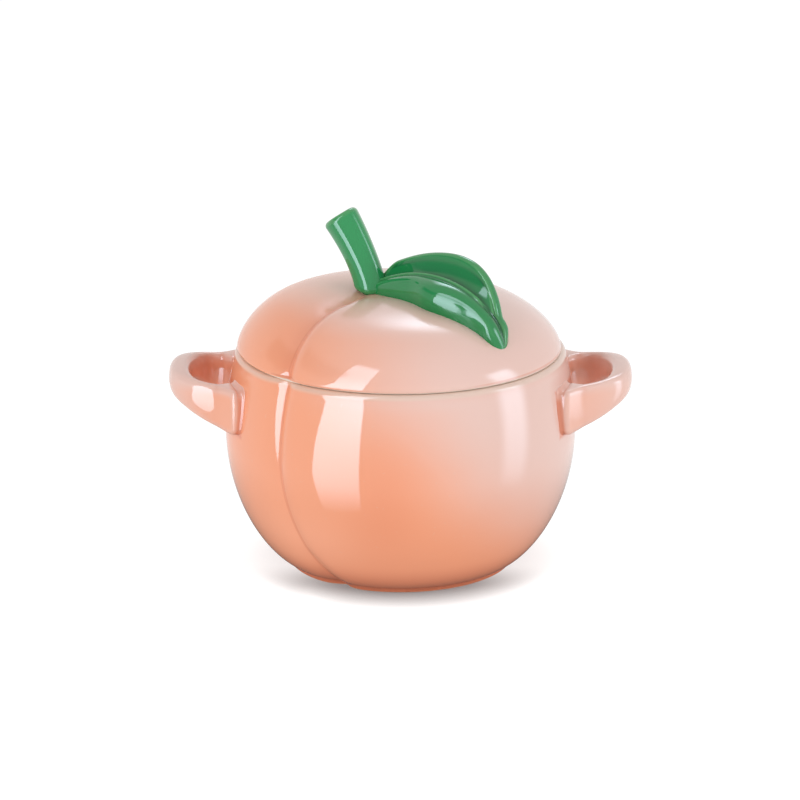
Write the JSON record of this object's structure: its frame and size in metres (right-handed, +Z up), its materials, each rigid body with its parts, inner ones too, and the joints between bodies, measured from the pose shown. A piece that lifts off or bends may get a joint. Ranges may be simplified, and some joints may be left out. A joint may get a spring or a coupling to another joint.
{
  "type": "mini cocotte",
  "caption": "Small round lidded stoneware pot shaped like a peach, with loop handles at its sides, a crease down its front and a stem-and-leaf knob on a lid that lifts off.",
  "frame": {"origin": "on the pot's axis, in the plane of its foot ring", "axes": "+X through the right handle, +Y to the back, +Z up along the way the lid lifts"},
  "size_m": [0.1394, 0.1057, 0.1076],
  "materials": {
    "pot_glaze": "glossy peach glaze over stoneware, paler towards the right",
    "right_handle_glaze": "glossy pale peach glaze",
    "left_handle_glaze": "glossy peach glaze",
    "lid_glaze": "glossy peach glaze, pale pink on top",
    "stem_glaze": "glossy green glaze",
    "leaf_glaze": "glossy green glaze, thinner and paler on its edges"
  },
  "bodies": {
    "pot": {"pot_body": "pot_glaze", "right_handle": "right_handle_glaze", "left_handle": "left_handle_glaze"},
    "lid": {"lid": "lid_glaze", "stem": "stem_glaze", "leaf": "leaf_glaze"}
  },
  "joints": [
    {"name": "lid_lift", "type": "slide", "parent": "pot", "child": "lid", "axis": [0, 0, 1], "range_m": [0, 0.12]}
  ]
}
